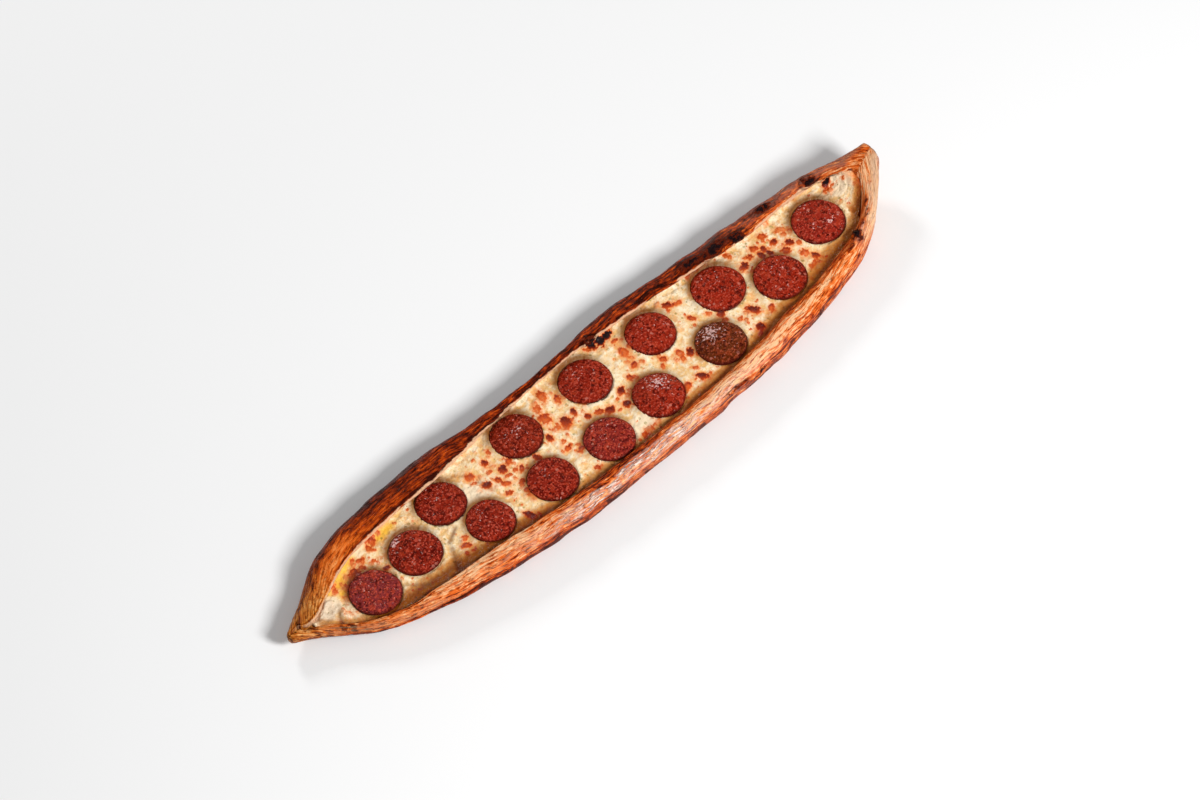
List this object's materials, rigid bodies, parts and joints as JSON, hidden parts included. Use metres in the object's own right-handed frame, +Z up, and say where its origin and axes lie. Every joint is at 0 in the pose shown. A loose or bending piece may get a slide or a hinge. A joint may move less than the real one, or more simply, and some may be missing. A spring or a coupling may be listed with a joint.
{
  "type": "turkish pide",
  "caption": "Long boat-shaped flatbread with rolled, pinched rims, filled with melted cheese and topped with round slices of sucuk sausage.",
  "frame": {"origin": "centre of the underside of the box that holds the whole pide, on the surface it rests on", "axes": "+X along the boat towards its raised, horn-like tip; +Y towards the wider, folded-in rim; +Z up"},
  "size_m": [0.542, 0.1146, 0.0351],
  "materials": {
    "crust": "baked dough, browned and lightly glazed",
    "cheese": "melted cheese with browned spots, oily sheen",
    "sucuk": "cured sausage slice, oily sheen"
  },
  "bodies": {
    "root": {"crust": "crust", "cheese": "cheese", "sucuk_01": "sucuk", "sucuk_02": "sucuk", "sucuk_03": "sucuk", "sucuk_04": "sucuk", "sucuk_05": "sucuk", "sucuk_06": "sucuk", "sucuk_07": "sucuk", "sucuk_08": "sucuk", "sucuk_09": "sucuk", "sucuk_10": "sucuk", "sucuk_11": "sucuk", "sucuk_12": "sucuk", "sucuk_13": "sucuk", "sucuk_14": "sucuk"}
  },
  "joints": []
}
